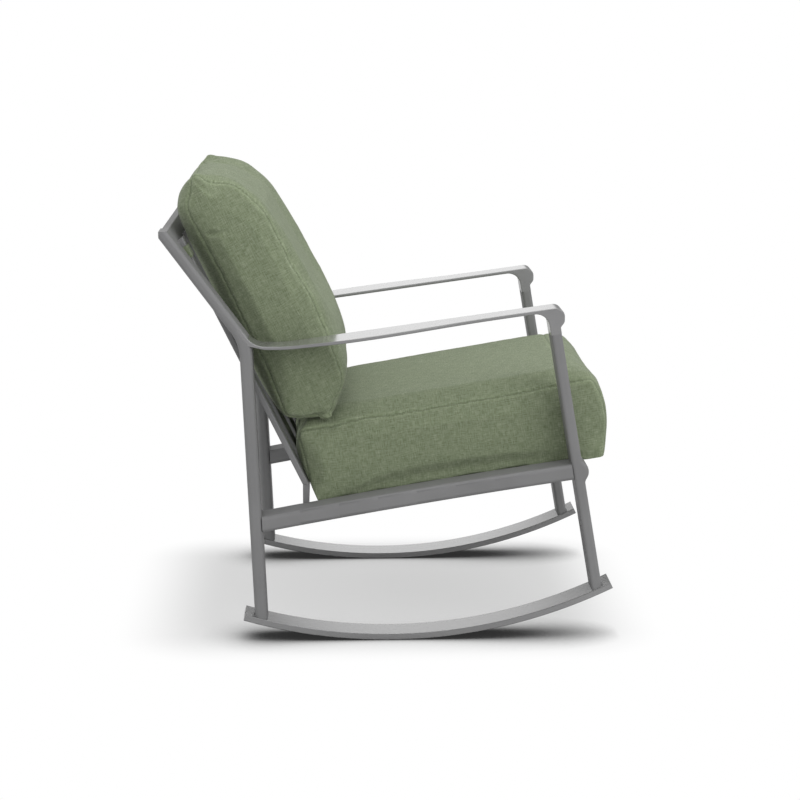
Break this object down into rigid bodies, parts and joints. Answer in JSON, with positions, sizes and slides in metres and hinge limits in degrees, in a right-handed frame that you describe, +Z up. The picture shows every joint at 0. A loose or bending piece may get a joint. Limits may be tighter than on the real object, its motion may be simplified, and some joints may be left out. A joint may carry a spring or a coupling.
{
  "type": "outdoor rocking chair",
  "caption": "Outdoor rocking chair: grey aluminium frame with thin sloping arms on bent flat-bar rockers, slatted seat and back, and thick loose green cushions.",
  "frame": {"origin": "on the floor under the lowest line of the rockers, midway between them", "axes": "+Z up, the chair faces -Y, X across with the sitter's right at -X"},
  "size_m": [0.775, 0.885, 0.915],
  "materials": {
    "frame_metal": "satin grey powder coat",
    "cushion_fabric": "woven outdoor fabric, heathered sage green",
    "cushion_filling": "foam wrapped in fibre",
    "zip_tape": "woven zip tape",
    "strap_webbing": "flat straps of the cover's fabric"
  },
  "bodies": {
    "frame": {"rocker_left": "frame_metal", "front_leg_left": "frame_metal", "back_post_left": "frame_metal", "seat_rail_left": "frame_metal", "arm_left": "frame_metal", "back_side_bar_left": "frame_metal", "back_slat_left": "frame_metal", "rocker_right": "frame_metal", "front_leg_right": "frame_metal", "back_post_right": "frame_metal", "seat_rail_right": "frame_metal", "arm_right": "frame_metal", "back_side_bar_right": "frame_metal", "back_slat_right": "frame_metal", "back_slat_middle": "frame_metal", "top_rail": "frame_metal", "rear_seat_rail": "frame_metal", "front_seat_rail": "frame_metal", "seat_slat_1": "frame_metal", "seat_slat_2": "frame_metal", "seat_slat_3": "frame_metal", "seat_slat_4": "frame_metal", "seat_slat_5": "frame_metal", "cushion_strap_left": "strap_webbing", "cushion_strap_right": "strap_webbing"},
    "seat_cushion": {"seat_cushion_cover": "cushion_fabric", "seat_cushion_filling": "cushion_filling", "seat_cushion_zip": "zip_tape"},
    "back_cushion": {"back_cushion_cover": "cushion_fabric", "back_cushion_filling": "cushion_filling", "back_cushion_zip": "zip_tape"}
  },
  "joints": [
    {"name": "seat_cushion_pull", "type": "slide", "parent": "frame", "child": "seat_cushion", "axis": [0, -0.9866, 0.1633], "range_m": [0, 0.6]},
    {"name": "back_cushion_tip", "type": "hinge", "parent": "frame", "child": "back_cushion", "pos_m": [0, 0.3985, 0.7951], "axis": [-1, 0, 0], "range_deg": [0, 15]}
  ]
}
